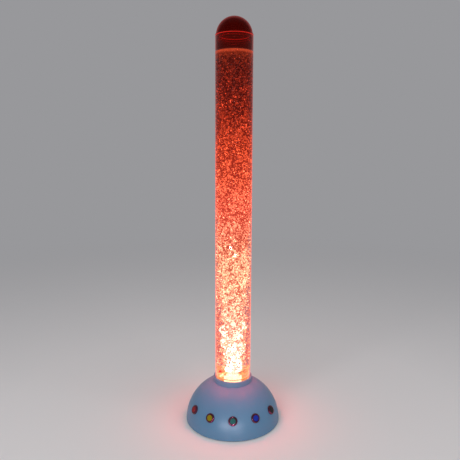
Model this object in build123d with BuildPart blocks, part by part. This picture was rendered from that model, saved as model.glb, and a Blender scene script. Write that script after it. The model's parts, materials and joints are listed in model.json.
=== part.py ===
from build123d import *

import os
from math import atan2, cos, radians, sin, sqrt, tan

os.makedirs("parts", exist_ok=True)

# The frame: millimetres, +Z up along the tube, -Y to the front, origin on the floor
# under the tube's centre. Azimuths are in degrees from the front, positive towards +X.

# Gaps shared by all fits
close_gap = 0.1
loose_gap = 0.3
running_gap = 0.05
cut_overrun = 2.0
quarter_turn = 90.0

# Base shell, half an ellipsoid that stands just clear of the floor
shell_reach = 133.0
shell_rise = 123.6
shell_wall = 3.0
rim_height = 2.0
rim_rounding = 1.0
neck_thickness = 6.3
neck_land = 0.9

# Clear tube and its water
tube_radius = 50.0
tube_wall = 3.0
tube_length = 960.0
air_height = 40.5

# Collar round the tube's foot, with a threaded sleeve through the shell
collar_wall = 3.9
collar_height = 14.7
collar_rounding = 1.0
sleeve_wall = 1.8
sleeve_depth = 18.5
lip_thickness = 2.0
lip_width = 4.8
gasket_thickness = 1.5
gasket_width = 4.0
nut_height = 6.0
nut_rim_gap = 1.5
nut_notch_count = 6
nut_notch_width = 6.0
nut_notch_depth = 2.5

# Clear plug in the tube's foot, with its air passages
plug_height = 47.5
seal_cord_radius = 1.2
lower_seal_height = 13.0
upper_seal_height = 34.0
gallery_height = 40.0
gallery_radius = 3.0
gallery_azimuth = -47.0
gallery_screw_length = 8.0
gallery_screw_inset = 0.2
socket_radius = 1.5
socket_depth = 2.5
drain_azimuth = -56.0
drain_wall_gap = 1.4
drain_head_radius = 3.6
drain_head_height = 4.0
drain_stem_radius = 2.2
drain_stem_length = 6.0
inlet_edge_gap = 8.0
inlet_radius = 3.0
inlet_screw_length = 7.5
nozzle_bore_radius = 4.0
nozzle_stem_length = 4.4
nozzle_head_radius = 7.0
nozzle_head_height = 5.0
nozzle_hole_radius = 0.6
nozzle_hole_count = 8

# Air line
hose_radius = 3.0
hose_bore_radius = 2.0
tail_radius = 1.95
tail_bore_radius = 1.1
tail_length = 8.0
barb_flange_radius = 5.0
barb_flange_height = 4.5
valve_radius = 6.0
valve_length = 16.0
hose_climb = 20.0

# Top dome and the ring that seats it in the tube
dome_inset = 1.7
dome_wall = 3.0
flange_thickness = 3.0
flange_rounding = 0.8
spigot_depth = 12.0
spigot_wall = 4.8
spigot_rise = 3.0
spigot_gap = 0.2
spigot_seal_drop = 6.0
vent_radius = 1.5
vent_height = 8.0

# Base plate, feet and screws
plate_thickness = 3.0
foot_thickness = 3.0
foot_radius = 8.0
foot_stem_radius = 2.4
foot_head_radius = 3.4
foot_head_height = 2.4
foot_edge_gap = 10.0
foot_count = 6
boss_radius = 4.5
boss_edge_gap = 8.5
boss_hole_radius = 1.6
boss_hole_depth = 16.0
screw_gap = 0.6
m3_radius = 1.5
m3_head_radius = 2.75
m3_head_height = 1.9
cross_length = 3.4
cross_width = 0.7
cross_depth = 1.0
intake_slot_count = 5
intake_slot_length = 26.0
intake_slot_width = 2.5
intake_slot_pitch = 6.0
intake_place = 62.0

# Lamp under the plug
lens_gap = 4.0
lens_height = 8.0
lens_count = 6
emitter_height = 1.4
led_board_thickness = 1.6
sink_edge_gap = 2.0
sink_thickness = 4.0
fin_height = 11.0
fin_thickness = 1.5
fin_count = 7
post_edge_gap = 4.5
post_radius = 3.2
post_azimuth = 73.0
post_count = 3
post_screw_reach = 8.0

# Shares of the LED board's radius that the parts of the lamp take
lens_ring_share = 0.615
lens_share = 0.231
lens_foot_share = 0.131
emitter_share = 0.192
fin_circle_share = 0.846
fin_pitch_share = 0.231

# Air pump
pump_width_share = 0.376
pump_length_share = 0.677
pump_case_height = 30.0
pump_wall = 2.0
pump_corner = 8.0
pump_lid_thickness = 4.0
pump_lid_rounding = 1.5
pump_side_place = 28.0
pump_corner_gap = 10.0
mount_radius = 5.0
mount_height = 4.0
mount_stem_radius = 2.4
mount_inset = 7.0
pump_post_radius = 3.2
pump_post_inset = 5.5
pump_screw_reach = 8.0
core_side_gap = 1.3
core_depth = 23.0
core_thickness = 12.0
core_yoke = 6.0
core_leg_share = 0.167
core_centre_leg_share = 0.267
core_rib_width = 4.0
core_back_gap = 2.4
coil_length = 13.5
coil_gap = 0.4
magnet_gap = 2.5
magnet_length = 5.0
magnet_width = 8.0
arm_thickness = 2.5
arm_height = 12.0
arm_barrel_radius = 3.5
arm_pin_radius = 1.5
arm_pin_overhang = 5.0
diaphragm_throw = 9.5
diaphragm_small_radius = 5.0
diaphragm_large_radius = 9.0
diaphragm_wall = 1.0
head_length = 20.0
arm_pivot_gap = 8.0
diaphragm_place = 12.0

# Control board
board_width_share = 0.331
board_length_share = 0.572
board_thickness = 1.6
board_post_gap = 1.3
board_corner_gap = 23.6
standoff_height = 8.0
standoff_radius = 2.8
standoff_inset = 4.5
header_size = 9.0
header_depth = 7.0
header_height = 8.4
header_end_gap = 1.3
chip_height = 1.8
controller_size = 14.0
driver_length = 10.0
driver_width = 7.0
capacitor_radius = 4.5
capacitor_height = 12.0
capacitor_pitch = 12.0

# Power inlet at the back
jack_azimuth = 180.0
jack_height = 34.0
jack_flange_radius = 6.8
jack_flange_thickness = 1.4
jack_barrel_radius = 5.5
jack_depth = 15.0
jack_bore_radius = 2.9
jack_bore_depth = 10.0
jack_pin_radius = 1.05
jack_pin_setback = 1.0
jack_nut_radius = 8.0
jack_nut_thickness = 3.0

# Push buttons across the front
button_names = ["red", "yellow", "green", "blue", "black"]
button_step = 30.0
button_height = 53.3
button_travel = 2.0
bezel_radius = 12.5
bezel_proud = 4.4
bezel_rounding = 3.2
bezel_lip = 5.2
mouth_rounding = 0.7
mouth_radius = 7.9
barrel_radius = 10.8
barrel_bore_radius = 9.2
barrel_depth = 22.0
panel_nut_radius = 14.2
panel_nut_height = 4.0
pad_margin = 0.8
pad_step = 0.6
cap_proud = 0.4
cap_gap = 0.15
cap_rounding = 1.0
skirt_height = 3.0
spring_space = 9.1
spring_radius = 5.5
spring_wire_radius = 0.45
spring_pitch = 2.0
stem_radius = 2.5
stem_reach = 2.5
well_gap = 0.7
switch_body_radius = 8.5
switch_body_length = 8.0
terminal_spacing = 6.0
terminal_width = 2.4
terminal_length = 4.0

# Leads
lead_radius = 1.1
lead_stub = 9.0
lamp_exit_azimuth = 100.0
bend_share = 0.45

# Heights worked out from the sizes above, upwards from the floor
plate_bottom = foot_thickness
plate_top = plate_bottom + plate_thickness
tube_bore = tube_radius - tube_wall
collar_bore = tube_radius + loose_gap
collar_radius = collar_bore + collar_wall
sleeve_radius = collar_bore + sleeve_wall
land_radius = collar_radius + neck_land
neck_top = rim_height + shell_rise * sqrt(1 - (land_radius / shell_reach) ** 2)
neck_bottom = neck_top - neck_thickness
sleeve_bottom = neck_top - sleeve_depth
lip_top = sleeve_bottom + lip_thickness
tube_bottom = lip_top + gasket_thickness
tube_top = tube_bottom + tube_length
plug_top = tube_bottom + plug_height
water_top = tube_top - air_height
inlet_offset = tube_bore - inlet_edge_gap
lens_bottom = tube_bottom - lens_gap - lens_height
board_top = lens_bottom - emitter_height
sink_top = board_top - led_board_thickness
sink_bottom = sink_top - sink_thickness
sink_radius = inlet_offset - hose_radius - sink_edge_gap
post_ring_radius = sink_radius - post_edge_gap
led_board_radius = post_ring_radius - post_radius - loose_gap
fin_circle_radius = fin_circle_share * led_board_radius
fin_pitch = fin_pitch_share * led_board_radius
lens_ring_radius = lens_ring_share * led_board_radius
lens_radius = lens_share * led_board_radius
lens_foot_radius = lens_foot_share * led_board_radius
emitter_size = emitter_share * led_board_radius
inner_reach = shell_reach - shell_wall
inner_rise = shell_rise - shell_wall


def shell_radius(height, reach=shell_reach, rise=shell_rise):
    """The radius of the shell's outer or inner wall at a height above the floor."""
    return reach * sqrt(1 - ((height - rim_height) / rise) ** 2)


def spot(azimuth, radius, height):
    """A point by its azimuth, its distance from the tube's axis and its height."""
    turn = radians(azimuth)
    return Vector(radius * sin(turn), -radius * cos(turn), height)


def around(count, azimuth, radius, height=0.0):
    """Even places round the tube's axis, from a first azimuth on."""
    return [spot(azimuth + place * 360 / count, radius, height) for place in range(count)]


def corners(x, y, width, length, inset):
    """The four corner places of a rectangle, drawn in from its edges."""
    return [
        (x + side * (width / 2 - inset), y + end * (length / 2 - inset))
        for side in (-1, 1) for end in (-1, 1)
    ]


def quarter_ellipse(reach, rise):
    """The shell's profile from the rim's level up to the axis, as one weighted curve."""
    top = rim_height + rise
    middle_weight = cos(radians(quarter_turn / 2))
    return Bezier((reach, rim_height), (reach, top), (0, top), weights=[1, middle_weight, 1])


def wall_plane(azimuth, height):
    """A plane that lies on the shell's outer wall and faces outwards."""
    radius = shell_radius(height)
    slope = atan2((height - rim_height) / shell_rise**2, radius / shell_reach**2)
    turn = radians(azimuth)
    outwards = (sin(turn) * cos(slope), -cos(turn) * cos(slope), sin(slope))
    return Plane(spot(azimuth, radius, height), x_dir=(cos(turn), sin(turn), 0), z_dir=outwards)


def ring(plane, low, high, radius, bore=0.0, mode=Mode.ADD):
    """A round slab along a plane's axis, from low to high, with a bore if one is given."""
    with BuildSketch(plane.offset(low)) as outline:
        Circle(radius)
        if bore:
            Circle(bore, mode=Mode.SUBTRACT)
    extrude(outline.sketch, amount=high - low, mode=mode)


def block(plane, low, high, width, length, corner=0.0, mode=Mode.ADD):
    """A rectangular slab along a plane's axis, with round corners if a radius is given."""
    with BuildSketch(plane.offset(low)) as outline:
        if corner:
            RectangleRounded(width, length, corner)
        else:
            Rectangle(width, length)
    extrude(outline.sketch, amount=high - low, mode=mode)


def at(x, y, z=0.0):
    """A level plane at a point."""
    return Plane((x, y, z))


def under_plate(x, y):
    """A place on the base plate's underside that faces down."""
    return Location(Plane((x, y, plate_bottom), z_dir=(0, 0, -1)))


def tube_along(points, radii, outer, bore=0.0):
    """A round tube on straight runs joined by arcs."""
    with BuildLine() as route:
        FilletPolyline(*points, radius=radii)
    with BuildSketch(Plane(route.line @ 0, z_dir=route.line % 0)) as outline:
        Circle(outer)
        if bore:
            Circle(bore, mode=Mode.SUBTRACT)
    sweep(outline.sketch, path=route.line)


def turn_radii(points):
    """The largest even arcs that the runs of a route allow."""
    corners = [Vector(*point) for point in points]
    radii = []
    for before, corner, after in zip(corners, corners[1:], corners[2:]):
        turn = radians((corner - before).get_angle(after - corner))
        shorter = min((corner - before).length, (after - corner).length)
        radii.append(bend_share * shorter / tan(turn / 2))
    return radii


def screw(shank_length, shank_radius=m3_radius - running_gap):
    """A pan-head screw, its head above the origin and its shank below."""
    with BuildPart() as fastener:
        ring(Plane.XY, 0, m3_head_height, m3_head_radius)
        fillet(fastener.edges().group_by(Axis.Z)[-1], m3_head_height / 2)
        ring(Plane.XY, -shank_length, 0, shank_radius)
        for turn in (0, quarter_turn):
            with BuildSketch(Plane.XY.offset(m3_head_height)) as slot:
                Rectangle(cross_length, cross_width, rotation=turn)
            extrude(slot.sketch, amount=-cross_depth, mode=Mode.SUBTRACT)
    return fastener.part


def save(piece, name):
    """Labels a finished piece and writes it to its own file."""
    piece.part.label = name
    export_step(piece.part, f"parts/{name}.step")


button_azimuths = [button_step * (place - len(button_names) // 2) for place in range(len(button_names))]
button_planes = [wall_plane(azimuth, button_height) for azimuth in button_azimuths]
jack_plane = wall_plane(jack_azimuth, jack_height)
bezel_sink = bezel_radius**2 / (2 * shell_reach)
jack_sink = jack_flange_radius**2 / (2 * shell_reach)
bezel_floor = bezel_proud - bezel_lip
skirt_top = bezel_floor - close_gap
skirt_bottom = skirt_top - skirt_height
switch_top = skirt_bottom - spring_space
switch_back = -barrel_depth - switch_body_length
terminal_end = switch_back - terminal_length
pad_radius = panel_nut_radius + pad_margin
panel_thickness = shell_wall + pad_radius**2 / (2 * shell_reach) + pad_step
plate_radius = shell_radius(plate_bottom, inner_reach, inner_rise) - loose_gap
boss_ring = inner_reach - boss_edge_gap - boss_radius
boss_azimuth = button_step / 2
foot_ring = plate_radius - foot_edge_gap - foot_radius
foot_azimuth = boss_azimuth + button_step
boss_places = around(foot_count, boss_azimuth, boss_ring)
foot_places = around(foot_count, foot_azimuth, foot_ring)
post_places = around(post_count, post_azimuth, post_ring_radius)
lens_places = [Vector(0, 0, 0)] + around(lens_count, 0, lens_ring_radius)

# Base shell: a hollow less its screw bosses and flat pads, cut from a solid half ellipsoid
with BuildPart() as shell_hollow:
    with BuildSketch(Plane.XZ):
        with BuildLine():
            wall = quarter_ellipse(inner_reach, inner_rise)
            Polyline(wall @ 1, (0, rim_height), wall @ 0)
        make_face()
    revolve(axis=Axis.Z)
    split(bisect_by=Plane.XY.offset(neck_bottom), keep=Keep.BOTTOM)
    for place in boss_places:
        ring(at(place.X, place.Y), plate_top, shell_rise, boss_radius, mode=Mode.SUBTRACT)
    for plane in button_planes:
        ring(plane, -panel_thickness, panel_thickness, pad_radius, mode=Mode.SUBTRACT)
    ring(jack_plane, -panel_thickness, panel_thickness, jack_nut_radius + pad_margin, mode=Mode.SUBTRACT)

with BuildPart() as base_shell:
    with BuildSketch(Plane.XZ):
        with BuildLine():
            wall = quarter_ellipse(shell_reach, shell_rise)
            Polyline(wall @ 1, (0, rim_height), wall @ 0)
        make_face()
    revolve(axis=Axis.Z)
    split(bisect_by=Plane.XY.offset(neck_top), keep=Keep.BOTTOM)
    fillet(base_shell.edges().group_by(Axis.Z)[0], rim_rounding)
    add(shell_hollow.part, mode=Mode.SUBTRACT)
    with Locations((0, 0, neck_top)):
        Hole(sleeve_radius + close_gap, neck_thickness + cut_overrun)
    with Locations([(place.X, place.Y, plate_top) for place in boss_places]):
        Hole(boss_hole_radius, boss_hole_depth)
    for plane in button_planes:
        ring(plane, -bezel_sink, cut_overrun, bezel_radius + close_gap, mode=Mode.SUBTRACT)
        ring(plane, -2 * panel_thickness, cut_overrun, barrel_radius + close_gap, mode=Mode.SUBTRACT)
    ring(jack_plane, -jack_sink, cut_overrun, jack_flange_radius + close_gap, mode=Mode.SUBTRACT)
    ring(jack_plane, -2 * panel_thickness, cut_overrun, jack_barrel_radius + close_gap, mode=Mode.SUBTRACT)
save(base_shell, "base_shell")

# Collar: a visible ring on the shell and a sleeve through it, with a lip under the tube
with BuildPart() as tube_collar:
    ring(Plane.XY, neck_top, neck_top + collar_height, collar_radius)
    fillet(tube_collar.edges().group_by(Axis.Z)[-1], collar_rounding)
    ring(Plane.XY, sleeve_bottom, neck_top, sleeve_radius)
    ring(Plane.XY, lip_top, neck_top + collar_height, collar_bore, mode=Mode.SUBTRACT)
    ring(Plane.XY, sleeve_bottom, lip_top, collar_bore - lip_width, mode=Mode.SUBTRACT)
save(tube_collar, "tube_collar")

# Notched ring nut that holds the collar down from inside the shell
with BuildPart() as collar_nut:
    nut_radius = shell_radius(neck_bottom, inner_reach, inner_rise) - nut_rim_gap
    ring(Plane.XY, neck_bottom - nut_height, neck_bottom, nut_radius, sleeve_radius + close_gap)
    with PolarLocations(nut_radius, nut_notch_count):
        with Locations((0, 0, neck_bottom - nut_height / 2)):
            Box(2 * nut_notch_depth, nut_notch_width, nut_height, mode=Mode.SUBTRACT)
save(collar_nut, "collar_nut")

# Soft gasket between the lip and the tube's end
with BuildPart() as tube_gasket:
    ring(Plane.XY, lip_top, tube_bottom, tube_radius, tube_radius - gasket_width)
save(tube_gasket, "tube_gasket")

# Clear tube
with BuildPart() as tube:
    ring(Plane.XY, tube_bottom, tube_top, tube_radius, tube_bore)
save(tube, "tube")

# Clear plug: two seal grooves, a gallery drilled across it, an inlet and a nozzle bore
plug_radius = tube_bore - close_gap
groove_radius = plug_radius - 2 * seal_cord_radius
gallery_axis = tube_bottom + gallery_height
gallery_mouth = Plane(
    spot(gallery_azimuth, plug_radius, gallery_axis),
    z_dir=spot(gallery_azimuth, plug_radius, 0),
)
inlet_place = spot(gallery_azimuth + 180, inlet_offset, 0)
drain_place = spot(drain_azimuth, tube_bore - drain_wall_gap - drain_head_radius, plug_top)
drain_plane = at(drain_place.X, drain_place.Y, plug_top)
seal_heights = [tube_bottom + lower_seal_height, tube_bottom + upper_seal_height]
with BuildPart() as tube_plug:
    ring(Plane.XY, tube_bottom, plug_top, plug_radius)
    for height in seal_heights:
        half_groove = seal_cord_radius + loose_gap
        ring(
            Plane.XY, height - half_groove, height + half_groove,
            plug_radius + cut_overrun, groove_radius, mode=Mode.SUBTRACT,
        )
    gallery_length = plug_radius + inlet_offset
    ring(gallery_mouth, -gallery_length, cut_overrun, gallery_radius, mode=Mode.SUBTRACT)
    inlet_plane = at(inlet_place.X, inlet_place.Y)
    ring(inlet_plane, tube_bottom - cut_overrun, gallery_axis, inlet_radius, mode=Mode.SUBTRACT)
    ring(Plane.XY, gallery_axis, plug_top + cut_overrun, nozzle_bore_radius, mode=Mode.SUBTRACT)
    ring(drain_plane, -drain_stem_length, cut_overrun, drain_stem_radius, mode=Mode.SUBTRACT)
save(tube_plug, "tube_plug")

with BuildPart() as plug_seals:
    for height in seal_heights:
        with Locations((0, 0, height)):
            Torus(groove_radius + running_gap + seal_cord_radius, seal_cord_radius)
save(plug_seals, "plug_seals")

# Clear screw that closes the gallery's outer end
with BuildPart() as gallery_screw:
    ring(
        gallery_mouth, -gallery_screw_inset - gallery_screw_length, -gallery_screw_inset,
        gallery_radius - running_gap,
    )
    with BuildSketch(gallery_mouth.offset(-gallery_screw_inset)) as socket:
        RegularPolygon(socket_radius, 6)
    extrude(socket.sketch, amount=-socket_depth, mode=Mode.SUBTRACT)
save(gallery_screw, "gallery_screw")

# Red plug with a round head, in a blind bore near the edge of the clear plug's top
with BuildPart() as drain_plug:
    ring(drain_plane, 0, drain_head_height, drain_head_radius)
    fillet(drain_plug.edges().group_by(Axis.Z)[-1], drain_head_height / 3)
    ring(drain_plane, -drain_stem_length, 0, drain_stem_radius - running_gap)
    with BuildSketch(drain_plane.offset(drain_head_height)) as socket:
        RegularPolygon(socket_radius, 6)
    extrude(socket.sketch, amount=-socket_depth, mode=Mode.SUBTRACT)
save(drain_plug, "drain_plug")

# Nozzle that lets the air out in the middle of the plug
with BuildPart() as bubble_nozzle:
    ring(Plane.XY, plug_top - nozzle_stem_length, plug_top, nozzle_bore_radius - running_gap)
    ring(Plane.XY, plug_top, plug_top + nozzle_head_height, nozzle_head_radius)
    fillet(bubble_nozzle.edges().group_by(Axis.Z)[-1], nozzle_head_height / 4)
    ring(
        Plane.XY, plug_top - nozzle_stem_length, plug_top + nozzle_head_height / 2,
        nozzle_bore_radius / 2, mode=Mode.SUBTRACT,
    )
    for outwards in around(nozzle_hole_count, 0, nozzle_head_radius):
        hole = Plane((0, 0, plug_top + nozzle_head_height / 4), z_dir=outwards)
        ring(hole, 0, nozzle_head_radius + cut_overrun, nozzle_hole_radius, mode=Mode.SUBTRACT)
save(bubble_nozzle, "bubble_nozzle")

# Barbed inlet screwed into the plug from below
barb_plane = at(inlet_place.X, inlet_place.Y, tube_bottom)
with BuildPart() as air_inlet:
    with BuildSketch(barb_plane) as hexagon:
        RegularPolygon(barb_flange_radius, 6)
    extrude(hexagon.sketch, amount=-barb_flange_height)
    ring(barb_plane, 0, inlet_screw_length, inlet_radius - running_gap)
    ring(barb_plane, -barb_flange_height - tail_length, -barb_flange_height, tail_radius)
    ring(
        barb_plane, -barb_flange_height - tail_length, inlet_screw_length,
        tail_bore_radius, mode=Mode.SUBTRACT,
    )
save(air_inlet, "air_inlet")

# Water from the plug up to its surface, round the heads of the nozzle and the red plug
with BuildPart() as water_column:
    ring(Plane.XY, plug_top, water_top, tube_bore - running_gap)
    ring(
        Plane.XY, plug_top, plug_top + nozzle_head_height + close_gap,
        nozzle_head_radius + close_gap, mode=Mode.SUBTRACT,
    )
    ring(
        drain_plane, 0, drain_head_height + close_gap,
        drain_head_radius + close_gap, mode=Mode.SUBTRACT,
    )
save(water_column, "water_column")

# Top dome: a half sphere with a flange that rests on the tube's end
dome_radius = tube_radius - dome_inset
with BuildPart() as top_dome:
    with BuildSketch(Plane.XZ):
        with BuildLine():
            crown = CenterArc((0, tube_top), dome_radius, 0, quarter_turn)
            Polyline(crown @ 1, (0, tube_top), crown @ 0)
        make_face()
    revolve(axis=Axis.Z)
    ring(Plane.XY, tube_top, tube_top + flange_thickness, tube_radius)
    fillet(
        top_dome.edges().filter_by(GeomType.CIRCLE).sort_by(SortBy.RADIUS)[-2:],
        flange_rounding,
    )
    with Locations((0, 0, tube_top)):
        Sphere(dome_radius - dome_wall, mode=Mode.SUBTRACT)
    vent = Plane((0, 0, tube_top + vent_height), z_dir=(0, 1, 0))
    ring(vent, 0, tube_radius + cut_overrun, vent_radius, mode=Mode.SUBTRACT)
save(top_dome, "top_dome")

# Ring glued into the dome: it guides the dome in the tube and carries the seal
spigot_radius = tube_bore - spigot_gap
spigot_bore_radius = spigot_radius - spigot_wall
spigot_groove = spigot_radius - 2 * seal_cord_radius
upper_bore = sqrt((dome_radius - dome_wall) ** 2 - spigot_rise**2)
with BuildPart() as dome_spigot:
    ring(Plane.XY, tube_top - spigot_depth, tube_top, spigot_radius)
    ring(Plane.XY, tube_top, tube_top + spigot_rise, upper_bore - close_gap)
    ring(
        Plane.XY, tube_top - spigot_depth, tube_top + spigot_rise,
        spigot_bore_radius, mode=Mode.SUBTRACT,
    )
    seal_height = tube_top - spigot_seal_drop
    half_groove = seal_cord_radius + loose_gap
    ring(
        Plane.XY, seal_height - half_groove, seal_height + half_groove,
        spigot_radius + cut_overrun, spigot_groove, mode=Mode.SUBTRACT,
    )
save(dome_spigot, "dome_spigot")

with BuildPart() as dome_seal:
    with Locations((0, 0, seal_height)):
        Torus(spigot_groove + running_gap + seal_cord_radius, seal_cord_radius)
save(dome_seal, "dome_seal")

# Places of what stands on the base plate
pump_width = pump_width_share * shell_reach
pump_length = pump_length_share * shell_reach
pump_floor = plate_top + mount_height
pump_axis = pump_floor + pump_wall + head_length / 2
pump_top = pump_floor + pump_case_height + pump_lid_thickness
pump_corner_reach = shell_radius(pump_top, inner_reach, inner_rise) - pump_corner_gap
pump_rear_place = sqrt(pump_corner_reach**2 - (pump_side_place + pump_width) ** 2)
pump_x = -pump_side_place - pump_width / 2
pump_y = pump_rear_place - pump_length / 2
board_width = board_width_share * shell_reach
board_length = board_length_share * shell_reach
board_floor = plate_top + standoff_height
header_floor = board_floor + board_thickness
parts_top = header_floor + capacitor_height
board_side_place = post_ring_radius + post_radius + board_post_gap
board_corner_reach = shell_radius(parts_top, inner_reach, inner_rise) - board_corner_gap
board_rear_place = sqrt(board_corner_reach**2 - (board_side_place + board_width) ** 2)
board_x = board_side_place + board_width / 2
board_y = board_rear_place - board_length / 2
mount_places = corners(pump_x, pump_y, pump_width, pump_length, mount_inset)
pump_post_places = corners(pump_x, pump_y, pump_width, pump_length, pump_post_inset)
standoff_places = corners(board_x, board_y, board_width, board_length, standoff_inset)

# Base plate: a disc in the shell's mouth that carries everything inside
with BuildPart() as base_plate:
    ring(Plane.XY, plate_bottom, plate_top, plate_radius)
    with Locations([(place.X, place.Y, plate_top) for place in boss_places]):
        Hole(boss_hole_radius + screw_gap)
    with Locations([(place.X, place.Y, plate_top) for place in foot_places]):
        Hole(foot_stem_radius + close_gap)
    with Locations([(place.X, place.Y, plate_top) for place in post_places]):
        Hole(m3_radius + close_gap)
    with Locations([(x, y, plate_top) for x, y in mount_places]):
        Hole(mount_stem_radius + close_gap)
    with Locations([(x, y, plate_top) for x, y in standoff_places]):
        Hole(m3_radius + close_gap)
    with BuildSketch(Plane.XY.offset(plate_top)):
        with Locations((0, -intake_place)):
            with GridLocations(intake_slot_pitch, 0, intake_slot_count, 1):
                SlotOverall(intake_slot_length, intake_slot_width, rotation=quarter_turn)
    extrude(amount=-plate_thickness, mode=Mode.SUBTRACT)
save(base_plate, "base_plate")

# Screws up through the plate into the shell's bosses
boss_screw = screw(boss_hole_depth - screw_gap, boss_hole_radius - running_gap)
with BuildPart() as base_plate_screws:
    with Locations([under_plate(place.X, place.Y) for place in boss_places]):
        add(boss_screw)
save(base_plate_screws, "base_plate_screws")

# Rubber feet pushed up through the plate
with BuildPart() as feet:
    for place in foot_places:
        seat = at(place.X, place.Y)
        ring(seat, 0, plate_bottom, foot_radius)
        ring(seat, plate_bottom, plate_top, foot_stem_radius)
        ring(seat, plate_top, plate_top + foot_head_height, foot_head_radius)
    fillet(feet.edges().group_by(Axis.Z)[0], foot_thickness / 5)
save(feet, "feet")

# Lamp: heat sink with straight fins, on three posts
with BuildPart() as heat_sink:
    ring(Plane.XY, sink_bottom, sink_top, sink_radius)
    with BuildSketch(Plane.XY.offset(sink_bottom)):
        with GridLocations(fin_pitch, 0, fin_count, 1):
            Rectangle(fin_thickness, 2 * fin_circle_radius)
        Circle(fin_circle_radius, mode=Mode.INTERSECT)
    extrude(amount=-fin_height)
    for place in post_places:
        ring(at(place.X, place.Y), sink_bottom, sink_top, m3_radius + close_gap, mode=Mode.SUBTRACT)
    lamp_exit = spot(lamp_exit_azimuth, (fin_circle_radius + led_board_radius) / 2, 0)
    ring(
        at(lamp_exit.X, lamp_exit.Y), sink_bottom, sink_top,
        lead_radius + loose_gap, mode=Mode.SUBTRACT,
    )
save(heat_sink, "heat_sink")

with BuildPart() as led_board:
    ring(Plane.XY, sink_top, board_top, led_board_radius)
save(led_board, "led_board")

with BuildPart() as led_emitters:
    for place in lens_places:
        block(at(place.X, place.Y), board_top, lens_bottom, emitter_size, emitter_size)
save(led_emitters, "led_emitters")

with BuildPart() as led_lenses:
    for place in lens_places:
        with Locations(Vector(place.X, place.Y, lens_bottom + lens_height / 2)):
            Cone(lens_foot_radius, lens_radius, lens_height)
save(led_lenses, "led_lenses")

with BuildPart() as lamp_posts:
    for place in post_places:
        with BuildSketch(at(place.X, place.Y, plate_top)) as hexagon:
            RegularPolygon(post_radius, 6)
        extrude(hexagon.sketch, amount=sink_bottom - plate_top)
        for end in (plate_top, sink_bottom):
            with Locations(Vector(place.X, place.Y, end)):
                Hole(m3_radius, post_screw_reach + screw_gap)
save(lamp_posts, "lamp_posts")

# Pump case: a box on rubber mounts, with the core's ribs, the arm's boss and lid posts
pump_plane = at(pump_x, pump_y)
case_inside = pump_floor + pump_wall
core_width = pump_width - 2 * (pump_post_inset + pump_post_radius + core_side_gap)
core_leg = core_leg_share * core_width
core_centre_leg = core_centre_leg_share * core_width
case_top = pump_floor + pump_case_height
core_y = pump_y - pump_length / 2 + pump_wall + core_back_gap + core_depth / 2
core_low = pump_axis - core_thickness / 2
arm_pivot_y = pump_y + pump_length / 2 - arm_pivot_gap
magnet_y = core_y + core_depth / 2 + magnet_gap
head_y = arm_pivot_y - diaphragm_place
arm_low = pump_axis - arm_height / 2
tail_plane = Plane((pump_x, head_y, pump_axis), z_dir=(1, 0, 0))
with BuildPart() as pump_case:
    block(pump_plane, pump_floor, case_top, pump_width, pump_length, pump_corner)
    inner_width = pump_width - 2 * pump_wall
    inner_length = pump_length - 2 * pump_wall
    block(
        pump_plane, case_inside, case_top, inner_width, inner_length,
        pump_corner - pump_wall, mode=Mode.SUBTRACT,
    )
    for side in (-1, 1):
        rib = at(pump_x + side * (core_width - core_leg) / 2, core_y)
        block(rib, case_inside, core_low, core_rib_width, core_depth)
    ring(at(pump_x, arm_pivot_y), case_inside, arm_low - loose_gap, arm_barrel_radius)
    ring(
        at(pump_x, arm_pivot_y), case_inside, arm_low, arm_pin_radius + running_gap,
        mode=Mode.SUBTRACT,
    )
    for x, y in pump_post_places:
        ring(at(x, y), case_inside, case_top, pump_post_radius)
        ring(at(x, y), case_top - pump_screw_reach - screw_gap, case_top, m3_radius, mode=Mode.SUBTRACT)
    for x, y in mount_places:
        stem_hole = mount_stem_radius + close_gap
        ring(at(x, y), pump_floor, pump_floor + pump_wall / 2, stem_hole, mode=Mode.SUBTRACT)
    wall_start = pump_width / 2 - 2 * pump_wall
    ring(tail_plane, wall_start, pump_width / 2, hose_radius + close_gap, mode=Mode.SUBTRACT)
    pump_exit = Plane((pump_x, core_y, core_low + core_thickness), z_dir=(1, 0, 0))
    ring(pump_exit, wall_start, pump_width / 2, lead_radius + loose_gap, mode=Mode.SUBTRACT)
save(pump_case, "pump_case")

with BuildPart() as pump_lid:
    block(pump_plane, case_top, case_top + pump_lid_thickness, pump_width, pump_length, pump_corner)
    fillet(pump_lid.edges().group_by(Axis.Z)[-1], pump_lid_rounding)
    lid_top = case_top + pump_lid_thickness
    for x, y in pump_post_places:
        ring(at(x, y), case_top, lid_top, m3_radius + close_gap, mode=Mode.SUBTRACT)
        ring(at(x, y), lid_top - m3_head_height, lid_top, m3_head_radius + close_gap, mode=Mode.SUBTRACT)
save(pump_lid, "pump_lid")

with BuildPart() as pump_mounts:
    for x, y in mount_places:
        ring(at(x, y), plate_bottom + loose_gap, plate_top, mount_stem_radius)
        ring(at(x, y), plate_top, pump_floor, mount_radius)
        ring(at(x, y), pump_floor, pump_floor + pump_wall / 2 - close_gap, mount_stem_radius)
save(pump_mounts, "pump_mounts")

# Magnet coil on an iron core with three legs
with BuildPart() as pump_core:
    block(at(pump_x, core_y), core_low, core_low + core_thickness, core_width, core_depth)
    window = (core_width - core_centre_leg) / 2 - core_leg
    for side in (-1, 1):
        slot = at(pump_x + side * (core_centre_leg + window) / 2, core_y + core_yoke / 2)
        block(
            slot, core_low, core_low + core_thickness,
            window, core_depth - core_yoke, mode=Mode.SUBTRACT,
        )
save(pump_core, "pump_core")

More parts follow.
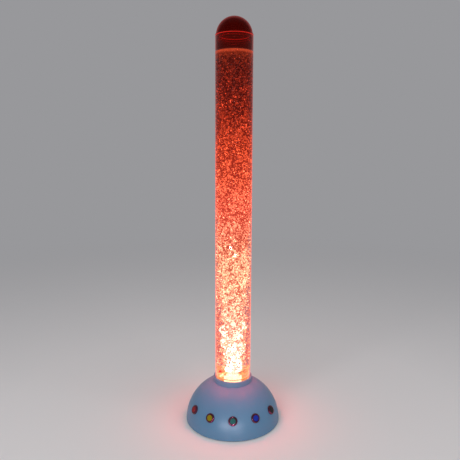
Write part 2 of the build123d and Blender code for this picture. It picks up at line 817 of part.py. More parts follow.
with BuildPart() as pump_coil:
    coil_start = core_y - core_depth / 2 + core_yoke + coil_gap
    coil_plane = Plane((pump_x, coil_start, pump_axis), x_dir=(1, 0, 0), z_dir=(0, 1, 0))
    block(
        coil_plane, 0, coil_length, core_centre_leg + 2 * (window - coil_gap),
        head_length, coil_gap * 2,
    )
    block(
        coil_plane, 0, coil_length, core_centre_leg + 2 * close_gap,
        core_thickness + 2 * close_gap, mode=Mode.SUBTRACT,
    )
save(pump_coil, "pump_coil")

# Arm that the coil shakes: a strip with a barrel on the pin, and a magnet at its free end
with BuildPart() as pump_arm:
    strip_end = magnet_y + magnet_length
    strip = at(pump_x, (strip_end + arm_pivot_y) / 2)
    block(strip, arm_low, arm_low + arm_height, arm_thickness, arm_pivot_y - strip_end)
    ring(at(pump_x, arm_pivot_y), arm_low, arm_low + arm_height, arm_barrel_radius)
    ring(
        at(pump_x, arm_pivot_y), arm_low, arm_low + arm_height,
        arm_pin_radius + running_gap, mode=Mode.SUBTRACT,
    )
save(pump_arm, "pump_arm")

with BuildPart() as pump_magnet:
    block(
        at(pump_x, magnet_y + magnet_length / 2), arm_low, arm_low + arm_height,
        magnet_width, magnet_length,
    )
save(pump_magnet, "pump_magnet")

with BuildPart() as pump_arm_pin:
    ring(at(pump_x, arm_pivot_y), case_inside, arm_low + arm_height + arm_pin_overhang, arm_pin_radius)
save(pump_arm_pin, "pump_arm_pin")

# Rubber diaphragm between the arm and the valve head
with BuildPart() as pump_diaphragm:
    diaphragm_start = arm_thickness / 2 + loose_gap
    diaphragm_end = diaphragm_start + diaphragm_throw
    with BuildSketch(tail_plane.offset(diaphragm_start)) as small_end:
        Circle(diaphragm_small_radius)
    with BuildSketch(tail_plane.offset(diaphragm_end)) as large_end:
        Circle(diaphragm_large_radius)
    loft([small_end.sketch.face(), large_end.sketch.face()])
    ring(
        tail_plane, diaphragm_start + diaphragm_wall, diaphragm_end,
        diaphragm_small_radius - diaphragm_wall, mode=Mode.SUBTRACT,
    )
save(pump_diaphragm, "pump_diaphragm")

# Valve head with the tail that the hose is pushed over
with BuildPart() as pump_head:
    head_width = inner_width / 2 - diaphragm_end - close_gap
    block(
        at(pump_x + diaphragm_end + head_width / 2, head_y), case_inside,
        case_inside + head_length, head_width, head_length,
    )
    ring(tail_plane, diaphragm_end + head_width, pump_width / 2 + hose_radius, hose_radius)
    ring(
        tail_plane, pump_width / 2 + hose_radius, pump_width / 2 + hose_radius + tail_length,
        tail_radius,
    )
    ring(
        tail_plane, diaphragm_end + head_width / 2, pump_width / 2 + hose_radius + tail_length,
        tail_bore_radius, mode=Mode.SUBTRACT,
    )
save(pump_head, "pump_head")

# Check valve between two hoses, so that water can't run back into the pump
valve_x = -valve_length / 2
hose_start = pump_x + pump_width / 2 + hose_radius
valve_plane = Plane((0, head_y, pump_axis), z_dir=(1, 0, 0))
with BuildPart() as check_valve:
    ring(valve_plane, valve_x, -valve_x, valve_radius)
    fillet(check_valve.edges().filter_by(GeomType.CIRCLE), valve_radius / 4)
    ring(valve_plane, valve_x - tail_length, -valve_x + tail_length, tail_radius)
    ring(
        valve_plane, valve_x - tail_length, -valve_x + tail_length,
        tail_bore_radius, mode=Mode.SUBTRACT,
    )
save(check_valve, "check_valve")

hose_points = [
    (-valve_x, head_y, pump_axis),
    (inlet_place.X, head_y, pump_axis),
    (inlet_place.X, inlet_place.Y, pump_axis + hose_climb),
    (inlet_place.X, inlet_place.Y, tube_bottom - barb_flange_height),
]
with BuildPart() as air_hoses:
    ring(valve_plane, hose_start, valve_x, hose_radius, hose_bore_radius)
    tube_along(hose_points, turn_radii(hose_points), hose_radius, hose_bore_radius)
save(air_hoses, "air_hoses")

# Control board on four standoffs
with BuildPart() as control_board:
    block(at(board_x, board_y), board_floor, header_floor, board_width, board_length)
    with Locations([(x, y, header_floor) for x, y in standoff_places]):
        Hole(m3_radius + close_gap)
save(control_board, "control_board")

with BuildPart() as board_standoffs:
    for x, y in standoff_places:
        ring(at(x, y), plate_top, board_floor, standoff_radius, m3_radius)
save(board_standoffs, "board_standoffs")

# M3 screws: down into the lamp's posts, the pump case and the standoffs, and up through the plate
with BuildPart() as m3_screws:
    with Locations([(x, y, lid_top - m3_head_height) for x, y in pump_post_places]):
        add(screw(pump_lid_thickness - m3_head_height + pump_screw_reach))
    with Locations([(place.X, place.Y, sink_top) for place in post_places]):
        add(screw(sink_thickness + post_screw_reach))
    with Locations([(x, y, header_floor) for x, y in standoff_places]):
        add(screw(board_thickness + standoff_height / 2 - screw_gap))
    with Locations([under_plate(place.X, place.Y) for place in post_places]):
        add(screw(plate_thickness + post_screw_reach))
    with Locations([under_plate(x, y) for x, y in standoff_places]):
        add(screw(plate_thickness + standoff_height / 2 - screw_gap))
save(m3_screws, "m3_screws")

# Headers: power at the rear, lamp and pump on the inner side, buttons at the front
power_header = Vector(board_x, board_rear_place - header_depth / 2, header_floor)
button_header = Vector(board_x, board_rear_place - board_length + header_depth / 2, header_floor)
side_header_x = board_side_place + header_depth / 2
side_header_place = standoff_inset + m3_head_radius + header_end_gap + header_size / 2
lamp_header = Vector(side_header_x, board_y - board_length / 2 + side_header_place, header_floor)
pump_header = lamp_header + Vector(0, 2 * header_size, 0)
with BuildPart() as board_headers:
    for header in (power_header, button_header):
        block(Plane(header), 0, header_height, header_size, header_depth)
    for header in (pump_header, lamp_header):
        block(Plane(header), 0, header_height, header_depth, header_size)
save(board_headers, "board_headers")

with BuildPart() as board_chips:
    block(at(board_x, board_y), header_floor, header_floor + chip_height, controller_size, controller_size)
    driver_y = board_y - controller_size
    for side in (0, 1):
        driver = at(board_x + side * controller_size, driver_y)
        block(driver, header_floor, header_floor + chip_height, driver_width, driver_length)
save(board_chips, "board_chips")

with BuildPart() as board_capacitors:
    for side in (-1, 1):
        can = at(board_x + side * capacitor_pitch / 2, board_y + controller_size + capacitor_radius)
        ring(can, header_floor, header_floor + capacitor_height, capacitor_radius)
    fillet(board_capacitors.edges().group_by(Axis.Z)[-1], capacitor_radius / 6)
save(board_capacitors, "board_capacitors")

# Power inlet in the back wall: barrel, centre pin and panel nut
with BuildPart() as power_jack:
    ring(jack_plane, -jack_sink, jack_flange_thickness, jack_flange_radius)
    fillet(power_jack.faces().sort_by(Axis.Y)[-1].edges(), jack_flange_thickness / 3)
    ring(jack_plane, -jack_depth, -jack_sink, jack_barrel_radius)
    ring(jack_plane, -jack_bore_depth, jack_flange_thickness, jack_bore_radius, mode=Mode.SUBTRACT)
    ring(jack_plane, -jack_depth + shell_wall, 0, jack_pin_radius + running_gap, mode=Mode.SUBTRACT)
save(power_jack, "power_jack")

with BuildPart() as power_jack_pin:
    ring(jack_plane, -jack_depth + shell_wall, -jack_pin_setback, jack_pin_radius)
save(power_jack_pin, "power_jack_pin")

with BuildPart() as power_jack_nut:
    with BuildSketch(jack_plane.offset(-panel_thickness)) as hexagon:
        RegularPolygon(jack_nut_radius, 6)
        Circle(jack_barrel_radius + close_gap, mode=Mode.SUBTRACT)
    extrude(hexagon.sketch, amount=-jack_nut_thickness)
save(power_jack_nut, "power_jack_nut")

# Push button, made once in its own frame: +Z outwards, zero at the shell's outer wall
with BuildPart() as bezel:
    ring(Plane.XY, -bezel_sink, bezel_proud, bezel_radius)
    fillet(bezel.edges().group_by(Axis.Z)[-1], bezel_rounding)
    ring(Plane.XY, -barrel_depth, -bezel_sink, barrel_radius)
    ring(Plane.XY, -barrel_depth, bezel_floor, barrel_bore_radius, mode=Mode.SUBTRACT)
    ring(Plane.XY, bezel_floor, bezel_proud, mouth_radius, mode=Mode.SUBTRACT)
    fillet(bezel.edges().group_by(Axis.Z)[-1].sort_by(SortBy.RADIUS)[0], mouth_rounding)

with BuildPart() as panel_nut:
    with BuildSketch(Plane.XY.offset(-panel_thickness)):
        RegularPolygon(panel_nut_radius, 6)
        Circle(barrel_radius + close_gap, mode=Mode.SUBTRACT)
    extrude(amount=-panel_nut_height)

with BuildPart() as switch:
    ring(Plane.XY, -barrel_depth, switch_top, barrel_bore_radius - close_gap)
    ring(Plane.XY, switch_back, -barrel_depth, switch_body_radius)
    well_depth = stem_reach + button_travel + well_gap
    ring(Plane.XY, switch_top - well_depth, switch_top, stem_radius + well_gap, mode=Mode.SUBTRACT)
    for side in (-1, 1):
        terminal = at(side * terminal_spacing / 2, 0)
        block(terminal, terminal_end, switch_back, terminal_width, terminal_width)

with BuildPart() as cap:
    ring(Plane.XY, skirt_top, bezel_proud + cap_proud, mouth_radius - cap_gap)
    fillet(cap.edges().group_by(Axis.Z)[-1], cap_rounding)
    ring(Plane.XY, skirt_bottom, skirt_top, barrel_bore_radius - close_gap)
    ring(Plane.XY, switch_top - stem_reach, skirt_bottom, stem_radius)

with BuildPart() as spring:
    end_gap = spring_wire_radius + running_gap
    with BuildLine() as coil:
        Helix(
            spring_pitch, spring_space - 2 * end_gap, spring_radius,
            center=(0, 0, switch_top + end_gap),
        )
    with BuildSketch(Plane(coil.line @ 0, z_dir=coil.line % 0)) as wire:
        Circle(spring_wire_radius)
    sweep(wire.sketch, path=coil.line, is_frenet=True)

# The bezels, nuts and switches are one node each, and every cap and spring has its own
button_spots = [Location(plane) for plane in button_planes]
with BuildPart() as button_bezels:
    with Locations(button_spots):
        add(bezel.part)
save(button_bezels, "button_bezels")

with BuildPart() as button_nuts:
    with Locations(button_spots):
        add(panel_nut.part)
save(button_nuts, "button_nuts")

with BuildPart() as button_switches:
    with Locations(button_spots):
        add(switch.part)
save(button_switches, "button_switches")

for name, button_spot in zip(button_names, button_spots):
    with BuildPart() as button_cap:
        with Locations(button_spot):
            add(cap.part)
    save(button_cap, f"{name}_button_cap")

    with BuildPart() as button_spring:
        with Locations(button_spot):
            add(spring.part)
    save(button_spring, f"{name}_button_spring")


def lead(points):
    """One two-core lead along a route."""
    tube_along(points, turn_radii(points), lead_radius)


# Leads: button to button and on to the board, and from the board to the jack, pump and lamp
with BuildPart() as button_leads:
    for left, right in zip(button_planes, button_planes[1:]):
        out = left.from_local_coords((terminal_spacing / 2, 0, terminal_end))
        out_turn = left.from_local_coords((terminal_spacing / 2, 0, terminal_end - lead_stub))
        back_turn = right.from_local_coords((-terminal_spacing / 2, 0, terminal_end - lead_stub))
        back = right.from_local_coords((-terminal_spacing / 2, 0, terminal_end))
        lead([out, out_turn, back_turn, back])
    last = button_planes[-1]
    header_front = button_header + Vector(0, -header_depth / 2, header_height / 2)
    lead([
        last.from_local_coords((terminal_spacing / 2, 0, terminal_end)),
        last.from_local_coords((terminal_spacing / 2, 0, terminal_end - lead_stub)),
        header_front + Vector(0, -2 * lead_stub, 0),
        header_front,
    ])
save(button_leads, "button_leads")

with BuildPart() as board_leads:
    header_rear = power_header + Vector(0, header_depth / 2, header_height / 2)
    lead([
        jack_plane.from_local_coords((0, 0, -jack_depth)),
        jack_plane.from_local_coords((0, 0, -jack_depth - lead_stub)),
        header_rear + Vector(0, 2 * lead_stub, 0),
        header_rear,
    ])
    header_side = pump_header + Vector(-header_depth / 2, 0, header_height / 2)
    coil_side = Vector(pump_x + core_width / 2 + close_gap, core_y, core_low + core_thickness)
    lead([
        coil_side,
        coil_side + Vector(pump_width / 2, 0, 0),
        header_side - Vector(2 * lead_stub, 0, 0),
        header_side,
    ])
    header_top = lamp_header + Vector(0, 0, header_height)
    lead([
        Vector(lamp_exit.X, lamp_exit.Y, sink_top),
        Vector(lamp_exit.X, lamp_exit.Y, header_top.Z + 3 * lead_stub),
        header_top + Vector(0, 0, lead_stub),
        header_top,
    ])
save(board_leads, "board_leads")
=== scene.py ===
import json
import math
import random

import bmesh
import bpy
from mathutils import Matrix, Vector, noise


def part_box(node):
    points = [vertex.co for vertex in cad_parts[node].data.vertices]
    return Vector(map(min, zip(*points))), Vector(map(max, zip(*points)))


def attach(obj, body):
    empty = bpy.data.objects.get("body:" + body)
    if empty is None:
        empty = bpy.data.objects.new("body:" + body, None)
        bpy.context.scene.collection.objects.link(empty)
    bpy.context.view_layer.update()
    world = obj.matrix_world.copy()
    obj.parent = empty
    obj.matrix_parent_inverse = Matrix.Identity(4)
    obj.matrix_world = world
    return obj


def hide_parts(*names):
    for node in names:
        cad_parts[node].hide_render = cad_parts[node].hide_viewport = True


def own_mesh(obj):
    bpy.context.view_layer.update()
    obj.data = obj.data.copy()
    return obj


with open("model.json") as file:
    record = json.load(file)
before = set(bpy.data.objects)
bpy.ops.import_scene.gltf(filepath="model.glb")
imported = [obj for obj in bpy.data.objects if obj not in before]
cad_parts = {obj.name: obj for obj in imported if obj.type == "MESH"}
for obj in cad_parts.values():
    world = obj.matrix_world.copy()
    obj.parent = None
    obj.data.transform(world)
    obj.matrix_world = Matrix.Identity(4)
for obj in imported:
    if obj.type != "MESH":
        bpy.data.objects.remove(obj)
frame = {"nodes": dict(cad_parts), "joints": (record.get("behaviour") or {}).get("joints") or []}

scene = bpy.context.scene
nodes = frame["nodes"]
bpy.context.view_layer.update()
dice = random.Random(7)


def tint(red, green, blue):
    """A colour given as a screen shows it, 0 to 255, for a shader's socket."""
    return tuple(
        (c / 255 / 12.92) if c <= 10 else ((c / 255 + 0.055) / 1.055) ** 2.4
        for c in (red, green, blue)
    ) + (1.0,)


# Camera: the photograph's own angle, found from the outlines of the tube and the base
photo_width, photo_focus = 460, 500.8
sensor_width = 36
camera_place = (-0.00944, -1.3609, 0.7561)
camera_dip, camera_roll = 8.64, 0.21
camera = bpy.data.objects.new("camera", bpy.data.cameras.new("camera"))
scene.collection.objects.link(camera)
camera.data.lens = sensor_width * photo_focus / photo_width
camera.data.clip_start = 0.01
camera.matrix_world = (
    Matrix.Translation(camera_place)
    @ Matrix.Rotation(math.radians(90 - camera_dip), 4, "X")
    @ Matrix.Rotation(math.radians(camera_roll), 4, "Z")
)
scene.camera = camera
scene.view_settings.view_transform = "Standard"


class Wire:
    """A node's output. A sum written on it becomes a Math node of the same finish."""

    def __init__(self, finish, socket):
        self.finish = finish
        self.socket = socket

    def sum(self, operation, *terms):
        return self.finish.node("Math", {"operation": operation}, dict(enumerate(terms)))

    def __abs__(self):
        return self.sum("ABSOLUTE", self)

    def __add__(self, other):
        return self.sum("ADD", self, other)

    def __sub__(self, other):
        return self.sum("SUBTRACT", self, other)

    def __rsub__(self, other):
        return self.sum("SUBTRACT", other, self)

    def __mul__(self, other):
        return self.sum("MULTIPLY", self, other)

    def __pow__(self, other):
        return self.sum("POWER", self, other)

    def __gt__(self, other):
        return self.sum("GREATER_THAN", self, other)

    def __lt__(self, other):
        return self.sum("LESS_THAN", self, other)

    __radd__ = __add__
    __rmul__ = __mul__

    def also(self, name):
        """Another output of the same node."""
        return Wire(self.finish, self.socket.node.outputs[name])


class Finish:
    """A material round one Principled shader, and the nodes that vary it over a surface."""

    def __init__(self, name):
        self.material = bpy.data.materials.new(name)
        self.material.use_nodes = True
        self.tree = self.material.node_tree
        self.shader = self.tree.nodes["Principled BSDF"]
        self.place = self.node("TexCoord", output="Object")
        self.axes = self.node("SeparateXYZ", inputs={0: self.place})

    def node(self, kind, settings=None, inputs=None, output=0):
        """Adds a node: its settings first, then the values or wires of its sockets."""
        made = self.tree.nodes.new("ShaderNode" + kind)
        for name, value in (settings or {}).items():
            if name == "stops":
                stops = made.color_ramp.elements
                stops.remove(stops[1])
                for number, (position, colour) in enumerate(value):
                    stop = stops[0] if number == 0 else stops.new(position)
                    stop.position = position
                    stop.color = colour
            else:
                setattr(made, name, value)
        for name, value in (inputs or {}).items():
            self.feed(made.inputs[name], value)
        return Wire(self, made.outputs[output])

    def feed(self, socket, value):
        if isinstance(value, Wire):
            self.tree.links.new(value.socket, socket)
        else:
            socket.default_value = value

    def set(self, **sockets):
        """Sets the shader's sockets. A name's underscores stand for its spaces."""
        for name, value in sockets.items():
            self.feed(self.shader.inputs[name.replace("_", " ")], value)
        return self

    def spread(self, stretch):
        """The surface's place, stretched along each axis."""
        return self.node("Mapping", inputs={"Vector": self.place, "Scale": stretch})

    def grain(self, scale, detail=2.0, roughness=0.5, place=None, warp=0.0):
        """Soft noise, in turns to the metre."""
        return self.node("TexNoise", inputs={
            "Vector": place or self.place, "Scale": scale, "Detail": detail,
            "Roughness": roughness, "Distortion": warp,
        })

    def cells(self, scale):
        """Distance from the nearest of many scattered points."""
        return self.node("TexVoronoi", inputs={"Vector": self.place, "Scale": scale})

    def level(self, wire, low, high, start=0.0, end=1.0):
        """A wire's range from low to high, taken to the range from start to end."""
        return self.node("MapRange", inputs={
            "Value": wire, "From Min": low, "From Max": high, "To Min": start, "To Max": end,
        })

    def lot(self, scale):
        """A random number for each of many small cells."""
        return self.node("SeparateXYZ", inputs={0: self.cells(scale).also("Color")})

    def ramp(self, wire, *stops):
        return self.node("ValToRGB", {"stops": stops}, {0: wire})

    def blend(self, share, first, second):
        """A colour between two, by a share of the second."""
        return self.node("Mix", {"data_type": "RGBA"}, {0: share, 6: first, 7: second}, 2)

    def dim(self, colour, share):
        """A colour made darker or brighter by a number at each point."""
        shade = self.node("CombineXYZ", inputs={0: share, 1: share, 2: share})
        return self.node("VectorMath", {"operation": "MULTIPLY"}, {0: colour, 1: shade})

    def ember(self, colour, low, rise):
        """A lit colour, redder where it is dim: from a low share up by a rise at each point."""
        shade = self.node("CombineXYZ", inputs={
            0: rise * 0.9 + low, 1: rise + low * 0.42, 2: rise + low * 0.40,
        })
        return self.node("VectorMath", {"operation": "MULTIPLY"}, {0: colour, 1: shade})

    def bump(self, height, depth, strength=1.0):
        return self.node("Bump", inputs={
            "Height": height, "Distance": depth, "Strength": strength,
        })

    def clear_to_lamps(self, wetted=0.0):
        """Lets light from lamps pass, and all light where a wall is wetted."""
        path = self.node("LightPath", output="Is Shadow Ray")
        unbent = self.node("BsdfTransparent", inputs={0: (1.0, 0.93, 0.91, 1.0)})
        mixed = self.node("MixShader", inputs={
            0: path.sum("MAXIMUM", path, wetted), 1: Wire(self, self.shader.outputs[0]), 2: unbent,
        })
        self.tree.links.new(mixed.socket, self.tree.nodes["Material Output"].inputs["Surface"])
        return self


def tones(colour, spread):
    """A darker and a lighter tone of a colour."""
    dark = tuple(c * (1 - spread) for c in colour[:3]) + (1.0,)
    light = tuple(min(c * (1 + spread), 1.0) for c in colour[:3]) + (1.0,)
    return dark, light


def moulded(name, colour, roughness, pits=900.0, depth=0.00004, coat=0.0):
    """Moulded plastic or rubber: a slightly clouded colour and a fine grain."""
    finish = Finish(name)
    cloud = finish.grain(35, 3)
    return finish.set(
        Base_Color=finish.blend(cloud, *tones(colour, 0.08)),
        Roughness=finish.level(cloud, 0.3, 0.7, roughness - 0.05, roughness + 0.05),
        Normal=finish.bump(finish.grain(pits, 2), depth),
        Coat_Weight=coat,
    )


def metal(name, colour, roughness, along=(1.0, 1.0, 1.0)):
    """Metal with faint tool marks, drawn out along an axis where a share is small."""
    finish = Finish(name)
    marks = finish.grain(700, 3, place=finish.spread(along))
    cloud = finish.grain(60, 3)
    return finish.set(
        Base_Color=finish.blend(cloud, *tones(colour, 0.1)),
        Metallic=1.0,
        Roughness=finish.level(marks, 0.25, 0.75, roughness - 0.06, roughness + 0.08),
        Normal=finish.bump(marks, 0.00002),
    )


# Base shell and collar: satin paint over plastic, dustier and more rubbed towards the rim
def satin_shell():
    finish = Finish("shell_satin")
    cloud = finish.grain(9, 4, 0.6)
    peel = finish.grain(420, 2)
    speck = finish.level(finish.cells(260), 0.02, 0.07, 1.0, 0.0)
    rub = finish.level(finish.axes.also("Z"), 0.002, 0.03, 1.0, 0.0) * finish.grain(70, 5, 0.7)
    paint = finish.blend(cloud, tint(76, 118, 152), tint(86, 127, 160))
    scuffed = finish.blend(finish.level(rub, 0.45, 0.8, 0.0, 0.5), paint, tint(140, 166, 190))
    return finish.set(
        Base_Color=finish.blend(speck * 0.12, scuffed, tint(74, 102, 132)),
        Roughness=finish.level(cloud, 0.3, 0.7, 0.36, 0.46) + rub * 0.12,
        Normal=finish.bump(peel, 0.00005, 0.6),
        Specular_IOR_Level=0.5,
    )


water_low, water_high = (corner.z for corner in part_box("water_column"))
water_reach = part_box("water_column")[1].x
tube_reach, tube_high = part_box("tube")[1].xz
ramp_top = 1.2
# Painted red glow, in the colour of the clear parts at their edges
edge_glow_red = (0.22, 0.008, 0.006, 1.0)
# Painted red glow line where the tube ends under the dome, and its width
joint_glow_red = (0.25, 0.013, 0.009, 1.0)
joint_glow_width = 0.0010


# Clear plastic parts. Their edges carry the lamp's red light, as clear plastic does: it is painted, as a
# glow up each part and as a red colour at its edges.
def clear_plastic(
    name, colours, glow, strength, front=0.04, low=0.0, high=ramp_top, edge_glow_share=0.9, bend=1.49, edge=0.60,
):
    """Colours and painted glow run up a height from low to high. Front is the glow's share face on."""
    finish = Finish(name)
    rim = finish.level(finish.node("LayerWeight", output="Facing"), edge, edge + 0.24)
    height = finish.level(finish.axes.also("Z"), low, high)
    scratch = finish.grain(1400, 2, place=finish.spread((1.0, 1.0, 0.04)))
    colour = finish.ramp(height, *colours)
    # A painted red glow line round the clear parts at the tube's top end, where the dome joins it
    joint = finish.level(abs(finish.axes.also("Z") - tube_high), joint_glow_width, joint_glow_width / 2)
    return finish.set(
        # Painted red glow: the colour turns red at the edges
        Base_Color=finish.blend(rim * edge_glow_share, colour, edge_glow_red),
        Transmission_Weight=1.0,
        IOR=bend,
        Specular_Tint=(1.0, 0.30, 0.22, 1.0),
        Roughness=finish.level(scratch, 0.4, 0.8, 0.02, 0.07),
        # Painted glow of the lamp's light, up the height and brightest at the edges
        Emission_Color=finish.blend(
            joint, finish.dim(finish.ramp(height, *glow), (rim * (1 - front) + front) * strength),
            joint_glow_red,
        ),
        Emission_Strength=1.0,
    )


bore_middle = (tube_reach + water_reach) / 2
wetted_low = water_low + 0.011


def wetted_bore(finish):
    """1 on the tube's bore under water, where wall and water bend light alike, so hardly at all."""
    flat = finish.node("CombineXYZ", inputs={0: finish.axes, 1: finish.axes.also("Y")})
    reach = finish.node("VectorMath", {"operation": "LENGTH"}, {0: flat}, "Value")
    height = finish.axes.also("Z")
    return (reach < bore_middle) * (height > wetted_low) * (height < water_high)


# How the lamp colours the water, from its foot to its surface: near the wall and in the middle
upper_light = (
    (0.525, tint(244, 119, 90)), (0.62, tint(232, 100, 66)), (0.715, tint(206, 74, 42)),
    (0.81, tint(156, 46, 24)), (0.9, tint(120, 30, 15)), (0.96, tint(106, 26, 12)),
    (1.0, tint(118, 42, 21)),
)
wall_light = (
    (0.0, tint(222, 92, 88)), (0.1, tint(232, 116, 102)), (0.2, tint(243, 142, 120)),
    (0.33, tint(246, 174, 136)), (0.43, tint(246, 150, 118)), *upper_light,
)
middle_light = (
    (0.0, tint(255, 238, 210)), (0.012, tint(255, 244, 226)), (0.19, tint(255, 232, 198)),
    (0.30, tint(252, 212, 168)), (0.38, tint(248, 192, 150)), (0.45, tint(246, 152, 118)),
    *upper_light,
)


def sparks(finish, scale, share, size=0.3):
    """Scattered round specks, each with its own brightness. Only a share of them is lit."""
    speck = finish.level(finish.cells(scale), size, size * 0.5)
    return speck * finish.level(finish.lot(scale), 1 - share, 1.0)


# Water: painted light of the lamp, as specks of light and a thin glowing film over clear gaps, and
# glowing froth at its surface
def lit_water():
    finish = Finish("lit_water")
    height = finish.level(finish.axes.also("Z"), water_low, water_high)
    gather = finish.level(finish.grain(95, 4, 0.7, finish.spread((1.0, 1.0, 0.6)), 0.8), 0.42, 0.62)
    glints = finish.node("Clamp", inputs={
        0: (sparks(finish, 300, 0.5) * 1.3 + sparks(finish, 190, 0.3) * gather * 1.5)
        * finish.level(height, 0.004, 0.012),
    })
    # Painted glowing froth band just under the water's surface
    glowing_froth = (
        (finish.level(height, 0.972, 0.996) * 0.55 + finish.level(height, 0.989, 0.9945) * 0.32)
        * finish.level(finish.grain(210, 3), 0.3, 0.6, 0.6, 1.0)
    )
    cloud = finish.level(finish.grain(46, 4, 0.65), 0.36, 0.62, 0.35, 1.3)
    film = finish.level(height, 0.06, 0.5, 0.26, 0.14) * finish.level(height, 0.004, 0.02) * cloud
    light = finish.ramp(height, *wall_light)
    return finish.set(
        Base_Color=tint(60, 10, 7),
        Roughness=0.3,
        IOR=1.33,
        Specular_IOR_Level=0.1,
        Alpha=finish.node("Clamp", inputs={0: film + glints + glowing_froth}),
        Emission_Color=finish.ember(
            light, finish.level(height, 0.06, 0.5, 0.8, 0.45), glints * 2.5 + glowing_froth * 2.8,
        ),
        Emission_Strength=1.0,
    )


# The light that the lamp throws up the middle of the water, far above white at its foot
def lamp_shaft():
    finish = Finish("lamp_shaft")
    height = finish.level(finish.axes.also("Z"), water_low, water_high)
    swirl = finish.grain(64, 5, 0.75, finish.spread((1.0, 1.0, 0.7)), 1.5)
    glowing_froth = finish.level(finish.cells(190), 0.1, 0.6, 1.0, 0.0)
    billow = finish.grain(24, 1, 0.5, finish.spread((1.0, 1.0, 0.8)))
    bright = finish.level(
        swirl + glowing_froth * 0.22 + billow * 0.22 + finish.level(height, 0.42, 0.34, 0.0, 0.035), 0.65, 0.78,
    )
    over = finish.level(finish.axes.also("Z"), water_low - 0.003, water_low)
    foot = finish.level(height + billow * 0.2, 0.28, 0.14) * over
    clumps = bright * finish.level(height, 0.5, 0.85, 2.1, 1.3) * (over * 0.8 + 0.2)
    return finish.set(
        Base_Color=tint(40, 8, 5),
        Roughness=0.6,
        Specular_IOR_Level=0.1,
        Emission_Color=finish.ember(
            finish.ramp(height, *middle_light), finish.level(height, 0.5, 0.85, 0.62, 0.2),
            clumps + foot * (bright * 3.0 + 1.0) + (1 - over) * 0.9,
        ),
        Emission_Strength=1.0,
    )


# How it colours the bubbles, which are redder at the foot than the light behind them
foot_light = (
    (0.0, tint(250, 170, 130)), (0.14, tint(251, 168, 132)), (0.33, tint(246, 174, 136)),
    (0.43, tint(246, 150, 118)), *upper_light,
)


# Bubbles: their glow is painted light of the lamp, brightest on their undersides and fading up the water,
# and their colour is painted pinker at the foot and darker above
def bubble_skin():
    finish = Finish("bubble_skin")
    height = finish.level(finish.axes.also("Z"), water_low, water_high)
    spark = finish.node("Attribute", {"attribute_name": "spark"}, output="Fac")
    up = finish.node("SeparateXYZ", inputs={0: finish.node("NewGeometry", output="Normal")}).also("Z")
    swirl = finish.level(finish.grain(58, 4, 0.7), 0.36, 0.64, 0.5, 1.5)
    lit_side = finish.level(up, -0.9, 0.9, 1.2, 0.75)
    fading_glow = finish.level(height, 0.1, 0.7, 0.8, 0.15)
    crowd = finish.level(finish.lot(170), 0.0, 1.0, 0.35, 1.75)
    return finish.set(
        Base_Color=finish.ramp(
            height, (0.0, tint(120, 50, 40)), (0.6, tint(60, 12, 8)), (1.0, tint(46, 8, 5)),
        ),
        Roughness=finish.level(finish.grain(700), 0.3, 0.7, 0.2, 0.35),
        Specular_IOR_Level=0.2,
        Emission_Color=finish.ember(
            finish.ramp(height, *foot_light), fading_glow, spark**1.8 * swirl * lit_side * crowd * 4.2,
        ),
        Emission_Strength=1.0,
    )


# Chrome bezels, cast dark by the red and violet that they mirror: that dark red and violet is a painted
# reflection in their colour
def painted_reflection_chrome():
    finish = Finish("bezel_chrome")
    cloud = finish.grain(70, 2, 0.5)
    haze = finish.grain(900, 2)
    return finish.set(
        Base_Color=finish.blend(finish.level(cloud, 0.35, 0.65), tint(84, 10, 38), tint(122, 38, 78)),
        Metallic=1.0,
        Roughness=finish.level(haze, 0.3, 0.7, 0.08, 0.16),
        Normal=finish.bump(haze, 0.00001, 0.4),
        Coat_Weight=0.8,
        Coat_Roughness=0.08,
    )


def cap_plastic(name, colour):
    finish = Finish(name)
    cloud = finish.grain(120, 3)
    return finish.set(
        Base_Color=finish.blend(cloud, *tones(colour, 0.12)),
        Roughness=finish.level(finish.grain(600, 2), 0.3, 0.7, 0.18, 0.3),
        Normal=finish.bump(finish.grain(500, 2), 0.00002),
        Specular_IOR_Level=0.3,
    )


# Circuit board: solder mask with a maze of tracks under it
def circuit(name, mask, track):
    finish = Finish(name)
    maze = finish.node("TexBrick", {"offset": 0.37}, {
        "Vector": finish.place, "Scale": 260.0, "Mortar Size": 0.03,
        "Brick Width": 1.3, "Row Height": 0.45,
    }, "Fac")
    return finish.set(
        Base_Color=finish.blend(maze, mask, track),
        Roughness=finish.level(finish.grain(500), 0.3, 0.7, 0.25, 0.38),
        Normal=finish.bump(maze, 0.00003),
        Coat_Weight=0.3,
    )


def banded(name, colour, gap, pitch, axis, roughness):
    """Stacked sheets or wound wire: fine bands across one axis."""
    finish = Finish(name)
    bands_to_one = 3.18
    wave = finish.node("TexWave", {"bands_direction": axis}, {
        "Vector": finish.place, "Scale": 1 / pitch / bands_to_one, "Distortion": 0.4, "Detail": 1.0,
    }, 1)
    return finish.set(
        Base_Color=finish.blend(wave, gap, colour),
        Metallic=0.9,
        Roughness=finish.level(wave, 0.0, 1.0, roughness + 0.2, roughness),
        Normal=finish.bump(wave, 0.0002),
    )


# Seal ring at the dome's joint, which catches the light that comes up the tube's wall
def lit_seal():
    finish = Finish("lit_seal")
    cloud = finish.grain(90, 3)
    return finish.set(
        Base_Color=tint(150, 40, 28),
        Roughness=finish.level(cloud, 0.3, 0.7, 0.3, 0.4),
        Normal=finish.bump(finish.grain(900), 0.00003),
        Emission_Color=finish.blend(cloud, tint(80, 10, 6), tint(100, 14, 8)),
        Emission_Strength=1.0,
    )


# Lenses and emitters of the lamp, whitest at their tops
def lit_lens():
    finish = Finish("led_light")
    height = finish.level(finish.axes.also("Z"), 0.084, 0.096)
    return finish.set(
        Base_Color=tint(255, 190, 150),
        Roughness=finish.level(finish.grain(400), 0.3, 0.7, 0.1, 0.2),
        Emission_Color=finish.ramp(height, (0.0, tint(255, 90, 50)), (1.0, tint(255, 225, 190))),
        Emission_Strength=1.2,
    )


